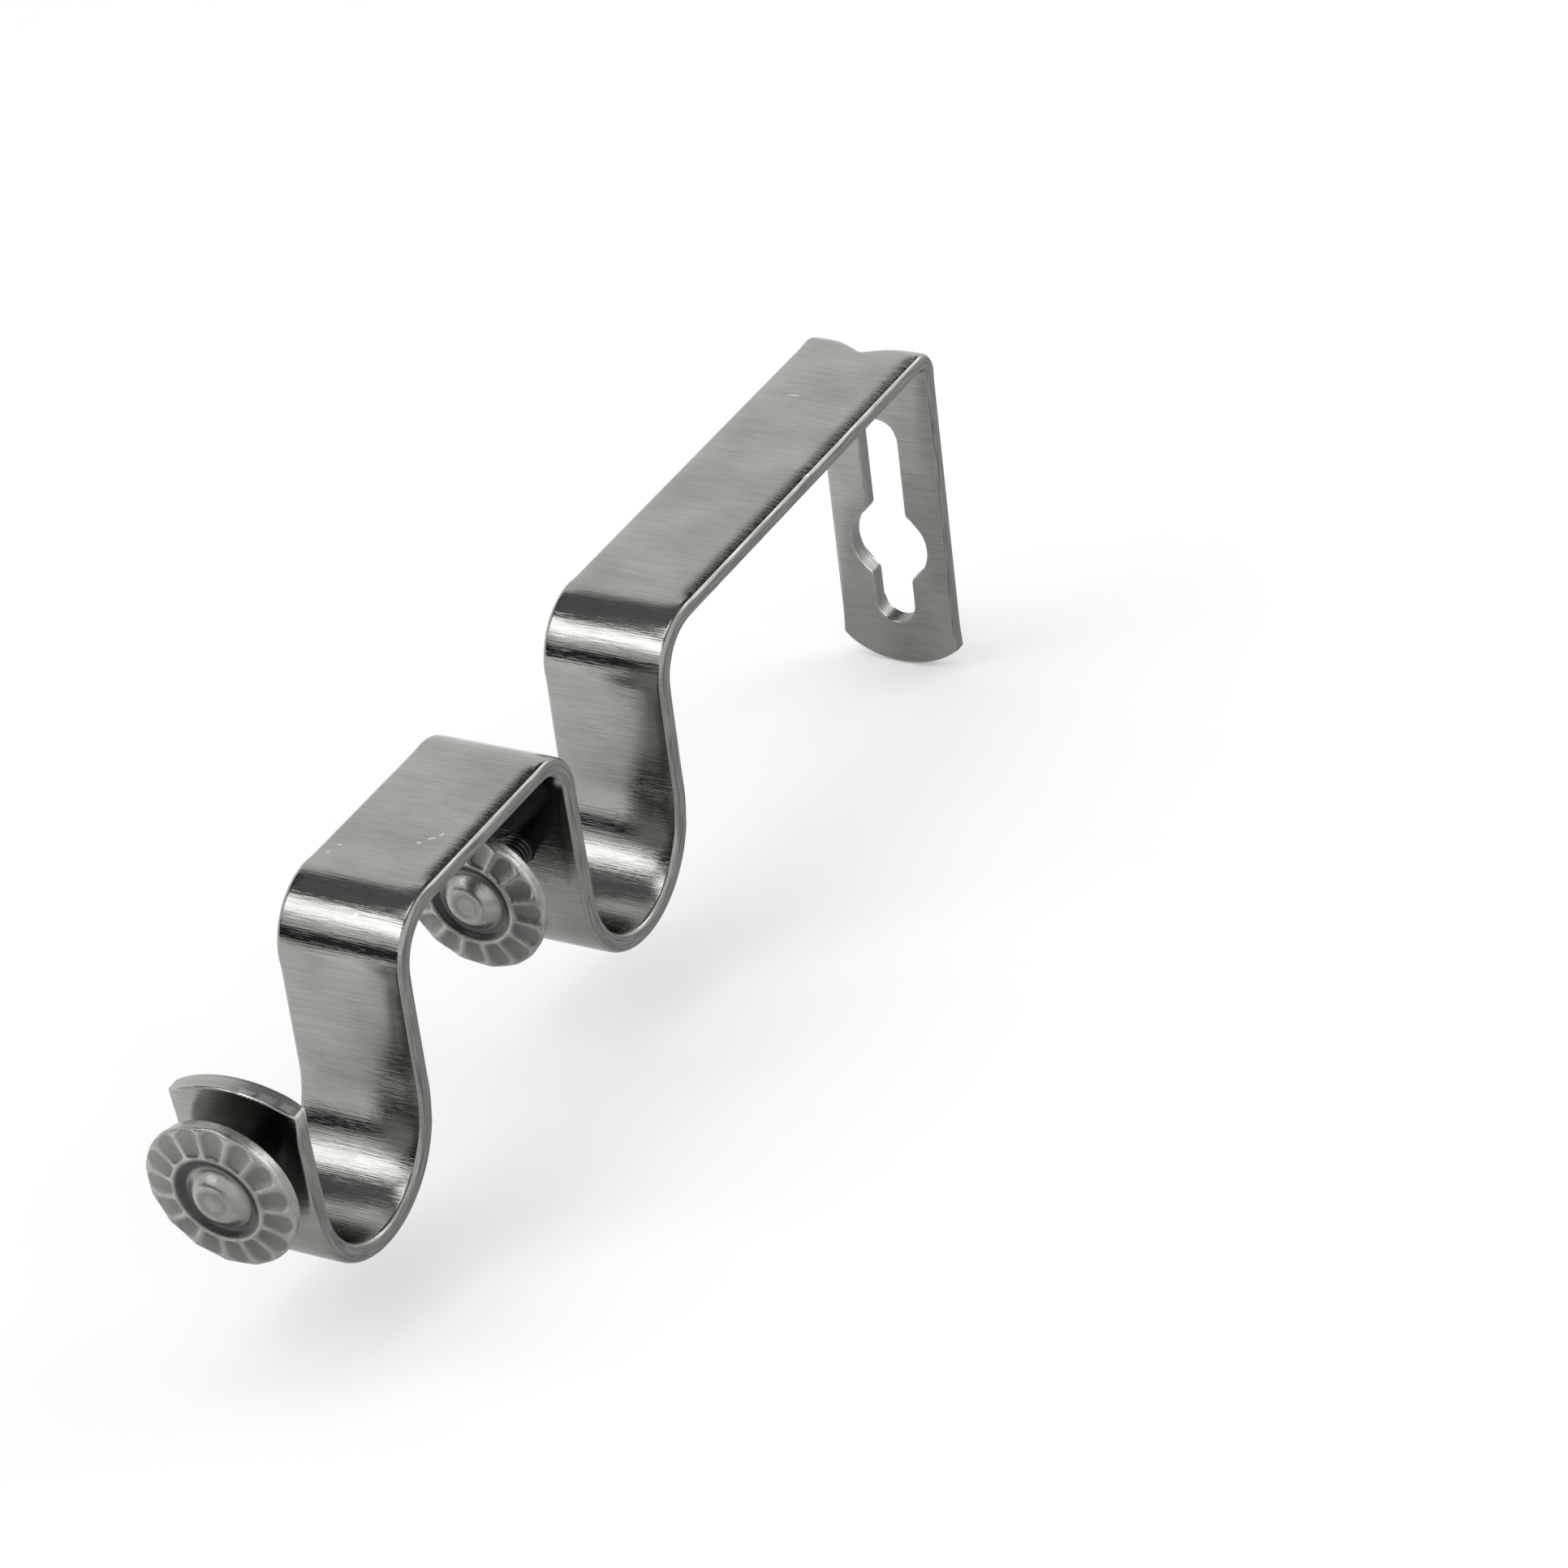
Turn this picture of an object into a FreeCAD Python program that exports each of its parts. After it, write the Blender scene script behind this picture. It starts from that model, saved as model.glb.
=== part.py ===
import FreeCAD, Part
import math
import os

from FreeCAD import Vector

# Double curtain pole bracket, bent from one flat bar, with two rosette thumb screws.
# Frame: X across the bar, Y square to the wall with the bracket on the -Y side, Z up.
# Origin: centre of the keyhole's round part, on the wall face. Lengths in mm, angles in degrees.

# Flat bar
bar_width = 20.0
bar_thickness = 3.0

# Wall plate
arm_top = 36.0
plate_drop = 21.5
plate_end_radius = 15.5
corner_inner_radius = 1.5

# Keyhole in the wall plate
keyhole_diameter = 13.2
keyhole_slot_width = 6.8
keyhole_slot_rise = 22.6
keyhole_slot_drop = 14.0
keyhole_corner_radius = 1.2

# Dart pressed into the corner of plate and arm
dart_leg = 5.3
dart_flank_angle = 22.0
dart_bottom_radius = 2.0

# Poles: distance of each axis from the wall and below the top of the arm
rear_pole_reach = 101.8
rear_pole_drop = 28.55
front_pole_reach = 175.5
front_pole_drop = 30.45

# Bends, all radii on the inner side of the bar
top_bend_radius = 7.0
bridge_rear_bend_radius = 5.0
bridge_drop = 1.35
heel_radius = 18.5
heel_turn = 17.0
cradle_radius = 12.0

# Walls on the room side of the cradles, leaning outwards at the top
rear_wall_lean = 2.0
lip_lean = 3.0
lip_rise = 19.35
lip_end_radius = 21.0

# Thumb screw studs
stud_diameter = 5.0
stud_chamfer = 0.4
stud_running_clearance = 0.05
stud_tip_recess = 0.2
rear_screw_rise = 8.5
front_screw_rise = 7.2
rear_screw_gap = 10.6
front_screw_gap = 4.1

# Rosette heads, depths measured from the flat back
head_back_radius = 11.0
head_front_radius = 11.4
head_edge_chamfer = 0.3
head_rim_depth = 2.45
head_bore_depth = 2.8
head_bore_end_clearance = 0.15
ring_outer_radius = 7.0
ring_inner_radius = 6.65
ring_depth = 3.1
groove_depth = 0.8
button_radius = 5.0
button_shoulder_radius = 4.6
button_shoulder_depth = 3.75
button_flat_radius = 3.6
button_depth = 4.05

# Flutes of the rosette
flute_count = 15
flute_end_gap = 0.15
flute_ridge_width = 0.6
flute_mouth_depth = 0.4
front_flute_angle = 11.4
rear_flute_angle = 0.0

half_thickness = bar_thickness / 2
half_width = bar_width / 2
X_AXIS = Vector(1, 0, 0)
Y_AXIS = Vector(0, 1, 0)


def sine(angle):
    return math.sin(math.radians(angle))


def cosine(angle):
    return math.cos(math.radians(angle))


def slope_angle(rise, run):
    return math.degrees(math.atan2(rise, run))


class BarPath:
    """Middle line of the bent bar, walked in the YZ plane as straights and bends."""

    def __init__(self, y, z, heading):
        self.y = y
        self.z = z
        self.heading = heading
        self.left_edges = []
        self.right_edges = []

    def beside(self, offset):
        """Point beside the line, to the left of the heading for a positive offset."""
        return Vector(0, self.y - offset * sine(self.heading), self.z + offset * cosine(self.heading))

    def straight(self, length):
        left_start = self.beside(half_thickness)
        right_start = self.beside(-half_thickness)
        self.y += length * cosine(self.heading)
        self.z += length * sine(self.heading)
        self.left_edges.append(Part.LineSegment(left_start, self.beside(half_thickness)).toShape())
        self.right_edges.append(Part.LineSegment(right_start, self.beside(-half_thickness)).toShape())

    def turn_by(self, turn, radius):
        """Move along an arc of the middle line, to the left for a positive turn."""
        side = math.copysign(radius, turn)
        centre = self.beside(side)
        self.heading += turn
        self.y = centre.y + side * sine(self.heading)
        self.z = centre.z - side * cosine(self.heading)

    def bend(self, turn, inner_radius):
        """Bend the bar, with the radius on its inner side, to the left for a positive turn."""
        left = [self.beside(half_thickness)]
        right = [self.beside(-half_thickness)]
        for _ in range(2):
            self.turn_by(turn / 2, inner_radius + half_thickness)
            left.append(self.beside(half_thickness))
            right.append(self.beside(-half_thickness))
        self.left_edges.append(Part.Arc(*left).toShape())
        self.right_edges.append(Part.Arc(*right).toShape())

    def face(self):
        """Side view of the bar between the two offset lines."""
        start_cap = Part.makeLine(self.left_edges[0].Vertexes[0].Point, self.right_edges[0].Vertexes[0].Point)
        end_cap = Part.makeLine(self.left_edges[-1].Vertexes[1].Point, self.right_edges[-1].Vertexes[1].Point)
        edges = self.left_edges + self.right_edges + [start_cap, end_cap]
        return Part.Face(Part.Wire(Part.__sortEdges__(edges)))


def bend_into_cradle(path, pole_reach, pole_drop, lean):
    """Run out to a pole, bend down the wall behind it and round its cradle."""
    heel_shift = heel_radius - cradle_radius
    wall_y = heel_radius + half_thickness - heel_shift * cosine(heel_turn) - pole_reach
    wall_foot = arm_top - pole_drop + heel_shift * sine(heel_turn)
    path.straight(path.y - wall_y - top_bend_radius - half_thickness)
    path.bend(90, top_bend_radius)
    path.straight(path.z - wall_foot)
    path.bend(-heel_turn, heel_radius)
    path.bend(heel_turn + lean - 180, cradle_radius)


def wall_frame(path, lean, screw_rise):
    """Placement of a screw: on the outer face of the wall that starts here, +Y into the wall."""
    y = path.y + screw_rise * cosine(path.heading)
    z = path.z + screw_rise * sine(path.heading)
    base = Vector(0, y - half_thickness * sine(path.heading), z + half_thickness * cosine(path.heading))
    return FreeCAD.Placement(base, FreeCAD.Rotation(X_AXIS, lean))


def walk_bar():
    """Side view of the whole bracket, both screw placements and the end of the lip."""
    path = BarPath(-half_thickness, -plate_drop, 90)
    path.straight(arm_top - bar_thickness - corner_inner_radius - path.z)
    path.bend(90, corner_inner_radius)
    bend_into_cradle(path, rear_pole_reach, rear_pole_drop, rear_wall_lean)
    rear_screw = wall_frame(path, rear_wall_lean, rear_screw_rise)
    bridge_bend_rise = (bridge_rear_bend_radius + half_thickness) * (1 + cosine(path.heading))
    bridge_middle = arm_top - bridge_drop - half_thickness
    path.straight((bridge_middle - bridge_bend_rise - path.z) / sine(path.heading))
    path.bend(90 - rear_wall_lean, bridge_rear_bend_radius)
    bend_into_cradle(path, front_pole_reach, front_pole_drop, lip_lean)
    front_screw = wall_frame(path, lip_lean, front_screw_rise)
    lip_top = arm_top - front_pole_drop + lip_rise
    path.straight((lip_top - path.z) / sine(path.heading))
    lip_end = FreeCAD.Placement(Vector(0, path.y, path.z), FreeCAD.Rotation(X_AXIS, lip_lean))
    return path.face(), rear_screw, front_screw, lip_end


def rounded_end_waste(end_radius, placement):
    """What is cut away to round an end of the bar whose apex is at the placement, +Z outwards."""
    block = Part.makeBox(2 * bar_width, 4 * bar_thickness, 2 * end_radius)
    block.translate(Vector(-bar_width, -2 * bar_thickness, -end_radius))
    disc = Part.makeCylinder(end_radius, 4 * bar_thickness, Vector(0, -2 * bar_thickness, -end_radius), Y_AXIS)
    waste = block.cut(disc)
    waste.Placement = placement
    return waste


def keyhole_tool():
    """Round hole with a slot above and below, its four inner corners rounded."""
    depth = 3 * bar_thickness
    half_slot = keyhole_slot_width / 2
    tool = Part.makeCylinder(keyhole_diameter / 2, depth, Vector(0, -depth, 0), Y_AXIS)
    for slot_end in (keyhole_slot_rise - half_slot, half_slot - keyhole_slot_drop):
        slot = Part.makeBox(keyhole_slot_width, depth, abs(slot_end))
        slot.translate(Vector(-half_slot, -depth, min(slot_end, 0)))
        slot_tip = Part.makeCylinder(half_slot, depth, Vector(0, -depth, slot_end), Y_AXIS)
        tool = tool.fuse([slot, slot_tip])
    tool = tool.removeSplitter()
    corner_height = math.sqrt(keyhole_diameter ** 2 - keyhole_slot_width ** 2) / 2
    corners = []
    for edge in tool.Edges:
        middle = edge.CenterOfMass
        if abs(abs(middle.x) - half_slot) < 0.01 and abs(abs(middle.z) - corner_height) < 0.01:
            corners.append(edge)
    tool = tool.makeFillet(keyhole_corner_radius, corners)
    tool.translate(Vector(0, bar_thickness, 0))
    return tool


def dart_prism(depth, tip_radius):
    """Wide V with a rounded tip, run along the corner; depth from the outer corner to the tip."""
    tangent_x = tip_radius * sine(dart_flank_angle)
    tangent_depth = depth - tip_radius + tip_radius * cosine(dart_flank_angle)
    mouth_x = tangent_x + tangent_depth * cosine(dart_flank_angle) / sine(dart_flank_angle)
    inwards = Vector(0, -1, -1).normalize()
    along = Vector(0, 1, -1).normalize()
    corner = Vector(0, 0, arm_top) - along * bar_width
    left_mouth = corner - X_AXIS * mouth_x
    right_mouth = corner + X_AXIS * mouth_x
    left_tangent = corner - X_AXIS * tangent_x + inwards * tangent_depth
    right_tangent = corner + X_AXIS * tangent_x + inwards * tangent_depth
    outline = [
        Part.makeLine(left_mouth, left_tangent),
        Part.Arc(left_tangent, corner + inwards * depth, right_tangent).toShape(),
        Part.makeLine(right_tangent, right_mouth),
        Part.makeLine(right_mouth, left_mouth),
    ]
    return Part.Face(Part.Wire(outline)).extrude(along * (2 * bar_width))


def press_dart(bar):
    """Groove across the outer corner and the rib that it raises inside the corner."""
    depth = dart_leg / math.sqrt(2)
    groove = dart_prism(depth, dart_bottom_radius)
    rib = dart_prism(depth + bar_thickness, dart_bottom_radius + bar_thickness)
    inner_side = Part.makeBox(bar_width, bar_width, bar_width)
    inner_side.translate(Vector(-half_width, -half_thickness - bar_width, arm_top - half_thickness - bar_width))
    return bar.fuse(rib.common(inner_side)).cut(groove)


def stud_hole_tool(screw):
    radius = stud_diameter / 2 + stud_running_clearance
    hole = Part.makeCylinder(radius, 3 * bar_thickness, Vector(0, -bar_thickness, 0), Y_AXIS)
    hole.Placement = screw
    return hole


def make_bracket(side_view, screws, lip_end):
    side_view.translate(Vector(-half_width, 0, 0))
    bar = side_view.extrude(X_AXIS * bar_width)
    plate_end = FreeCAD.Placement(Vector(0, -half_thickness, -plate_drop), FreeCAD.Rotation(X_AXIS, 180))
    bar = bar.cut(rounded_end_waste(plate_end_radius, plate_end))
    bar = bar.cut(rounded_end_waste(lip_end_radius, lip_end))
    bar = press_dart(bar)
    bar = bar.cut(keyhole_tool())
    bar = bar.cut([stud_hole_tool(screw) for screw in screws])
    return bar.removeSplitter()


def make_stud(screw_gap):
    """Stud from inside the head's bore to just short of the wall's inner face, chamfered at both ends."""
    head_end = -screw_gap - head_bore_depth + head_bore_end_clearance
    length = bar_thickness - stud_tip_recess - head_end
    stud = Part.makeCylinder(stud_diameter / 2, length, Vector(0, head_end, 0), Y_AXIS)
    rims = [edge for edge in stud.Edges if edge.Curve.TypeId == "Part::GeomCircle"]
    return stud.makeChamfer(stud_chamfer, rims)


def head_point(radius, depth):
    """Point of the head's half section, depth counted from the back towards the front."""
    return Vector(radius, -depth, 0)


def head_section():
    """Half section of the head, from the back around the rim to the middle of the button."""
    corners = [
        (0, 0),
        (head_back_radius - head_edge_chamfer, 0),
        (head_back_radius, head_edge_chamfer),
        (head_front_radius, head_rim_depth - head_edge_chamfer),
        (head_front_radius - head_edge_chamfer, head_rim_depth),
        (ring_outer_radius, ring_depth),
        (ring_inner_radius, ring_depth),
        ((ring_inner_radius + button_radius) / 2, ring_depth - groove_depth),
        (button_radius, ring_depth),
        (button_shoulder_radius, button_shoulder_depth),
        (button_flat_radius, button_depth),
        (0, button_depth),
        (0, 0),
    ]
    return Part.Face(Part.makePolygon([head_point(*corner) for corner in corners]))


def flute_tool():
    """Cone with a ball end that scoops one flute, lying along +X over the face of the head.

    The cone meets the face in two lines half a sector to each side, so the ridges keep their width."""
    half_sector = 180 / flute_count
    apex_radius = flute_ridge_width / 2 / sine(half_sector)
    reach = head_front_radius - apex_radius
    face_fall = slope_angle(ring_depth - head_rim_depth, head_front_radius - ring_outer_radius)
    dip = slope_angle(flute_mouth_depth, reach)
    cone_angle = slope_angle(1 / cosine(half_sector) - cosine(dip), sine(dip))
    tilt = cone_angle - dip
    face_height = ring_depth + (ring_outer_radius - apex_radius) * sine(face_fall) / cosine(face_fall)
    apex = head_point(apex_radius, face_height)
    axis = head_point(cosine(tilt - face_fall), sine(tilt - face_fall))
    inner_end = ring_outer_radius + flute_end_gap - apex_radius
    ball_distance = inner_end / (cosine(tilt) * (1 - sine(half_sector)))
    ball = Part.makeSphere(ball_distance * sine(cone_angle), apex + axis * ball_distance)
    cone_start = ball_distance * cosine(cone_angle) ** 2
    widening = sine(cone_angle) / cosine(cone_angle)
    cone = Part.makeCone(cone_start * widening, reach * widening, reach - cone_start, apex + axis * cone_start, axis)
    return cone.fuse(ball)


def make_head(flute_angle):
    """Rosette head with its back at the origin and its front towards -Y."""
    head = head_section().revolve(Vector(0, 0, 0), Y_AXIS, 360)
    flutes = []
    for index in range(flute_count):
        flute = flute_tool()
        flute.rotate(Vector(0, 0, 0), Y_AXIS, -flute_angle - index * 360 / flute_count)
        flutes.append(flute)
    bore_radius = stud_diameter / 2 + stud_running_clearance
    bore = Part.makeCylinder(bore_radius, head_bore_depth, Vector(0, -head_bore_depth, 0), Y_AXIS)
    return head.cut(flutes).cut(bore)


def place_screw(shape, screw, offset):
    shape.Placement = screw.multiply(FreeCAD.Placement(Vector(0, offset, 0), FreeCAD.Rotation()))
    return shape


def export(shape, name):
    os.makedirs("parts", exist_ok=True)
    shape.exportStep(f"parts/{name}.step")


def main():
    side_view, rear_screw, front_screw, lip_end = walk_bar()
    export(make_bracket(side_view, [rear_screw, front_screw], lip_end), "bracket_strip")
    for name, screw, gap, flute_angle in (
        ("rear_screw", rear_screw, rear_screw_gap, rear_flute_angle),
        ("front_screw", front_screw, front_screw_gap, front_flute_angle),
    ):
        export(place_screw(make_stud(gap), screw, 0), f"{name}_stud")
        export(place_screw(make_head(flute_angle), screw, -gap), f"{name}_head")


main()
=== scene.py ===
import math

import bmesh
import bpy
from mathutils import Matrix, Vector
from mathutils.geometry import delaunay_2d_cdt
from mathutils.kdtree import KDTree


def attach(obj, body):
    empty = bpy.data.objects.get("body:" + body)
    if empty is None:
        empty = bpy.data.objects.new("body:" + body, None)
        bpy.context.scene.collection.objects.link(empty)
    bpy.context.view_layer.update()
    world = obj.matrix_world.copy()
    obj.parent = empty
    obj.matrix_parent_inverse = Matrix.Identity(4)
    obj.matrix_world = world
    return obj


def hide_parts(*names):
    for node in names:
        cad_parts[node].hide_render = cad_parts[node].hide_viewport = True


# Double curtain pole bracket: bent flat bar, two rosette thumb screws.
# Sizes are in mm and angles in degrees, the same as the solids'. Meshes are scaled to metres.

MM = 0.001

# Flat bar and its bends
half_width = 10.0
half_thickness = 1.5
arm_top = 36.0
plate_drop = 21.5
plate_end_radius = 15.5
corner_inner_radius = 1.5
rear_pole_reach = 101.8
rear_pole_drop = 28.55
front_pole_reach = 175.5
front_pole_drop = 30.45
top_bend_radius = 7.0
bridge_rear_bend_radius = 5.0
bridge_drop = 1.35
heel_radius = 18.5
heel_turn = 17.0
cradle_radius = 12.0
rear_wall_lean = 2.0
lip_lean = 3.0
lip_rise = 19.35
lip_end_radius = 21.0

# Rolled faces fall away a little towards the long edges, and less so on the bends
shoulder_width = 3.0
shoulder_fall = 0.33
outer_bend_share = 0.25
inner_bend_share = 0.7
bend_fade = 2.5
full_bend_turn = 60.0

# Edges
rolled_edge_rounding = 0.9
cut_edge_rounding = 0.3
punched_edge_rounding = 0.2
cut_edge_length = 3.0
cut_edge_fade = 5.0

# Keyhole
keyhole_radius = 6.6
keyhole_half_slot = 3.4
keyhole_slot_rise = 22.6
keyhole_slot_drop = 14.0
keyhole_corner_radius = 1.2

# Dart pressed into the corner of plate and arm
dart_depth = 5.3 / math.sqrt(2)
dart_flank_angle = 22.0
dart_bottom_radius = 2.0
dart_softness = 0.5
dart_fade_out = 0.002

# Steps of the bar's mesh: rows along it, points across it and round its loops
straight_row_gap = 1.2
bend_row_gap = 0.55
dart_row_gap = 0.36
dart_rows = 24
dart_reach = 9.0
coarse_across = [1.2, 2.5, 3.8, 5.0, 6.2, 7.1, 7.8, 8.4, 8.8]
fine_across_gap = 0.45
fine_across_count = 16
fine_across_outer = [7.95, 8.4, 8.8]
clear_of_edge = 0.55
clear_of_corner = 0.4
corner_stretch_limit = 0.7
bar_end_steps = 40
hole_steps = 40
keyhole_round_steps = 22
keyhole_corner_steps = 6
slot_end_steps = 14
upper_slot_points = (17, 15, 13, 11, 9, 7.4)
lower_slot_points = (7.4, 9)

# Thumb screws
stud_radius = 2.48
stud_hole_radius = 2.55
stud_tip_recess = 0.2
stud_bore_recess = 0.15
stud_chamfer = 0.4
thread_pitch = 0.8
thread_depth = 0.45
thread_crest_share = 0.2
thread_flank_share = 0.6
rear_screw_rise = 8.5
front_screw_rise = 7.2
rear_screw_gap = 10.6
front_screw_gap = 4.1

# Rosette heads, depths from the flat back
head_front_radius = 11.4
head_rim_depth = 2.45
head_bore_depth = 2.8
ring_outer_radius = 6.85
ring_inner_radius = 6.65
ring_depth = 3.1
button_radius = 5.1
button_flat_radius = 2.5
button_depth = 4.05
button_dimple = 0.1
groove_depth = 2.4
groove_outer_drop = 0.05
rim_waviness = 0.08

# Flutes of the heads
flute_count = 15
flute_ridge_width = 0.36
flute_start_radius = 6.9
flute_end_length = 0.7
flute_mouth_depth = 0.34
flute_root_share = 0.55
flute_mouth_gain = 0.45
flute_arch_radius = 11.35
flute_arch_rise = 1.4
flute_arch_softness = 0.35
flute_outside_share = 0.6
flute_pinch = 0.16
flute_pinch_start = 10.0
flute_pinch_length = 1.4
front_flute_angle = 11.4
rear_flute_angle = 0.0

# Steps of a head's mesh: radius and rise on the ring, inset and drop over the rim, radius and depth
steps_per_flute = 16
dimple_radii = (0.4, 0.8, 1.2, 1.6, 2.0)
button_steps = 20
ring_steps = ((6.72, 0.0), (6.8, 0.02))
face_radii = [6.92 + 0.17 * index for index in range(24)] + [11.0]
rim_steps = ((0.28, 0.0), (0.16, 0.04), (0.06, 0.13), (0.0, 0.28), (0.0, 0.5))
side_steps = ((11.19, 1.35), (11.1, 0.9), (11.0, 0.3), (10.95, 0.14), (10.83, 0.04), (10.7, 0.0))
back_steps = ((8.0, 0.0), (5.0, 0.0), (2.8, 0.0), (2.6, 0.1), (2.55, 0.4), (2.55, head_bore_depth))

# Steps of a stud's mesh
stud_turns = 36
stations_per_pitch = 9

# How hollow the parts of a head count for its finish, from 0 to 1
middle_hollow = 0.15
dimple_hollow = 0.2
dimple_ring_hollow = 0.25
dimple_ring_radius = 1.7
dimple_ring_width = 0.6
button_hollow = 0.1
button_foot_hollow = 0.85
flute_hollow = 0.64
flute_hollow_fall = 0.2
side_hollow = 0.1
back_hollow = 0.6

# Tones of the metals and the paper
bar_dark = (0.265, 0.267, 0.251, 1)
bar_light = (0.395, 0.397, 0.375, 1)
cut_side_dark = (0.16, 0.16, 0.152, 1)
cut_side_light = (0.34, 0.34, 0.325, 1)
lip_end_dark = (0.3, 0.3, 0.285, 1)
lip_end_light = (0.5, 0.5, 0.48, 1)
bar_worn = (0.85, 0.85, 0.83, 1)
casting_dark = (0.08, 0.08, 0.076, 1)
casting_light = (0.395, 0.395, 0.377, 1)
casting_rubbed = (0.5, 0.5, 0.475, 1)
casting_spots = (0.16, 0.155, 0.145, 1)
# Thread tones: a dark finish, painted near black to stand in for the shade in the gap behind each head
thread_dark_and_shade = (0.02, 0.02, 0.019, 1)
thread_light_and_shade = (0.07, 0.07, 0.068, 1)
thread_rubbed = (0.11, 0.11, 0.105, 1)
paper_dark = (0.88, 0.88, 0.88, 1)
paper_light = (0.92, 0.92, 0.92, 1)
no_colour = (0.0, 0.0, 0.0, 1)
pure_white = (1.0, 1.0, 1.0, 1.0)

# Finish of the metals: ranges of roughness, then strength and height in metres of the bumps
noise_range = (0.3, 0.7)
bar_roughness = (0.05, 0.09)
cut_side_roughness = 0.32
worn_roughness = 0.3
casting_roughness = (0.24, 0.38)
thread_roughness = (0.28, 0.45)
bar_bumps = (0.5, 0.00005)
casting_bumps = (0.5, 0.00006)
thread_bumps = (0.3, 0.00002)
soft_band_relief = 0.4
rolling_relief = 0.5
grain_relief = 0.17

# Where the sides of the bar begin, by height, and the cut end of the lip, by length
cut_side_heights = (1.2, 1.1)
lip_end_range = (356.0, 358.0)

# Nicks in the bar: flat place, turn from the long direction, half length
bar_nicks = [
    ((74.1, -3.2, -1.5), 78.0, 1.1),
    ((95.0, 9.4, -1.3), 10.0, 0.9),
    ((256.0, 5.3, -1.5), 20.0, 0.5),
    ((257.3, 4.4, -1.5), 50.0, 0.7),
    ((258.7, 3.3, -1.5), 95.0, 0.5),
    ((262.6, -7.0, -1.5), 35.0, 0.3),
    ((264.6, -7.6, -1.5), 0.0, 0.3),
    ((273.4, 1.6, -1.5), 60.0, 0.6),
    ((361.3, 2.6, 0.9), 83.0, 1.5),
    ((360.75, 5.4, 0.6), 75.0, 1.6),
    ((359.8, 8.3, 0.4), 67.0, 1.2),
]
nick_half_width = 0.25
nick_half_height = 0.8
nick_brightness = 0.65

# Camera and paper floor, in metres
camera_place = (0.38191, -0.67012, 0.44777)
camera_angles = (57.3046, 6.0998, 27.4534)
camera_lens = 130.26
camera_sensor = 36.0
floor_size = (6.0, 6.0)
floor_gap = 0.0002
paper_lift = 0.3
mirrored_shadow = 0.36
mirrored_shadow_edge = (-0.038, -0.024)


def sine(angle):
    return math.sin(math.radians(angle))


def cosine(angle):
    return math.cos(math.radians(angle))


class BentBar:
    """Middle line of the bar in the YZ plane, from the foot of the plate to the tip of the lip."""

    def __init__(self):
        self.runs = []
        self.length = 0.0
        self.y = -half_thickness
        self.z = -plate_drop
        self.heading = 90.0

    def add(self, length, turn):
        self.runs.append((self.length, length, turn, self.y, self.z, self.heading))
        self.length += length
        self.y, self.z, self.heading = self.at(self.length)

    def straight(self, length):
        self.add(length, 0.0)

    def bend(self, turn, inner_radius):
        self.add(math.radians(abs(turn)) * (inner_radius + half_thickness), turn)

    def at(self, along):
        """Middle line's y and z, and its heading, at a distance from the foot."""
        for start, length, turn, y, z, heading in reversed(self.runs):
            if along >= start - 1e-9:
                break
        gone = along - start
        if not turn:
            return y + gone * cosine(heading), z + gone * sine(heading), heading
        radius = math.copysign(length / math.radians(abs(turn)), turn)
        centre_y = y - radius * sine(heading)
        centre_z = z + radius * cosine(heading)
        heading += turn * gone / length
        return centre_y + radius * sine(heading), centre_z - radius * cosine(heading), heading

    def place(self, along, across, height):
        """Point of the bent bar from its flat coordinates, height counted from the middle line."""
        y, z, heading = self.at(along)
        return Vector((across, y - height * sine(heading), z + height * cosine(heading)))

    def direct(self, along, out_along, out_across, out_height):
        """Direction on the bent bar from its flat components."""
        heading = self.at(along)[2]
        y = out_along * cosine(heading) - out_height * sine(heading)
        z = out_along * sine(heading) + out_height * cosine(heading)
        return Vector((out_across, y, z)).normalized()


def run_into_cradle(bar, pole_reach, pole_drop, lean):
    heel_shift = heel_radius - cradle_radius
    wall_y = heel_radius + half_thickness - heel_shift * cosine(heel_turn) - pole_reach
    wall_foot = arm_top - pole_drop + heel_shift * sine(heel_turn)
    bar.straight(bar.y - wall_y - top_bend_radius - half_thickness)
    bar.bend(90, top_bend_radius)
    bar.straight(bar.z - wall_foot)
    bar.bend(-heel_turn, heel_radius)
    bar.bend(heel_turn + lean - 180, cradle_radius)


def bend_bar():
    """The bent bar, and how far along it the two screws are."""
    bar = BentBar()
    bar.straight(arm_top - 2 * half_thickness - corner_inner_radius - bar.z)
    bar.bend(90, corner_inner_radius)
    run_into_cradle(bar, rear_pole_reach, rear_pole_drop, rear_wall_lean)
    rear_screw = bar.length + rear_screw_rise
    bend_rise = (bridge_rear_bend_radius + half_thickness) * (1 + cosine(bar.heading))
    bar.straight((arm_top - bridge_drop - half_thickness - bend_rise - bar.z) / sine(bar.heading))
    bar.bend(90 - rear_wall_lean, bridge_rear_bend_radius)
    run_into_cradle(bar, front_pole_reach, front_pole_drop, lip_lean)
    front_screw = bar.length + front_screw_rise
    bar.straight((arm_top - front_pole_drop + lip_rise - bar.z) / sine(bar.heading))
    return bar, rear_screw, front_screw


def row_places(bar):
    """Distances along the bar at which its mesh has a row, closer in the bends and round the dart."""
    corner = bar.runs[1][0] + bar.runs[1][1] / 2
    rows = []
    for start, length, turn, _, _, _ in bar.runs:
        count = max(1, math.ceil(length / (bend_row_gap if turn else straight_row_gap)))
        rows += [start + length * index / count for index in range(count)]
    rows = [row for row in rows if abs(row - corner) > dart_reach]
    rows += [corner + dart_row_gap * index for index in range(-dart_rows, dart_rows + 1)]
    return sorted(rows) + [bar.length], corner


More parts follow.
